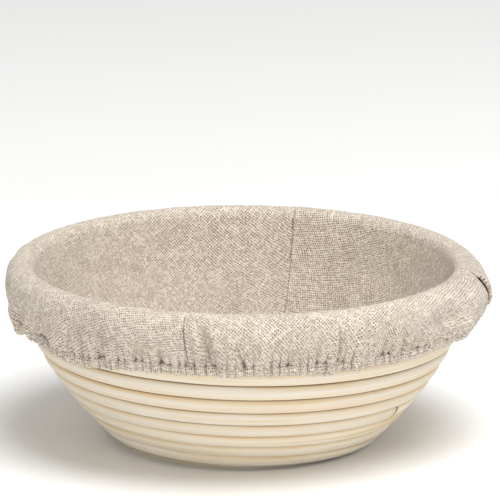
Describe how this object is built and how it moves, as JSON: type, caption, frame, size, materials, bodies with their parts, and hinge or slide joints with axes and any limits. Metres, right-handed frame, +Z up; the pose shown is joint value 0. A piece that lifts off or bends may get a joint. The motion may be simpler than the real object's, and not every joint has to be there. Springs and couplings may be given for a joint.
{
  "type": "banneton basket",
  "caption": "Round lined proofing basket: a spiral-wound cane bowl held by brads and staples, with a removable linen liner turned over the rim and gathered by an elastic hem.",
  "frame": {"origin": "centre of the sole, on the plane the basket stands on", "axes": "+Z up along the basket's axis, -Y towards the front, +X to the right seen from the front"},
  "size_m": [0.233, 0.233, 0.0904],
  "materials": {
    "cane": "satin",
    "fastener_steel": "satin",
    "linen": "matte",
    "elastic": "matte",
    "thread": "matte"
  },
  "bodies": {
    "basket": {"base_cane": "cane", "lower_wall_cane": "cane", "middle_wall_cane": "cane", "upper_wall_cane": "cane", "rim_cane": "cane", "base_staples": "fastener_steel", "lower_wall_brads": "fastener_steel", "middle_wall_brads": "fastener_steel", "upper_wall_brads": "fastener_steel", "rim_brads": "fastener_steel", "splice_brads": "fastener_steel"},
    "liner": {"liner_bowl": "linen", "liner_skirt": "linen", "hem_casing": "linen", "hem_elastic": "elastic", "hem_stitching": "thread", "front_dart_seam": "linen", "right_dart_seam": "linen", "back_dart_seam": "linen", "left_dart_seam": "linen"}
  },
  "joints": [
    {"name": "liner_lift", "type": "slide", "parent": "basket", "child": "liner", "axis": [0, 0, 1], "range_m": [0, 0.12], "deforming": ["liner_skirt", "hem_casing", "hem_elastic", "hem_stitching", "front_dart_seam", "right_dart_seam", "back_dart_seam", "left_dart_seam"]}
  ]
}
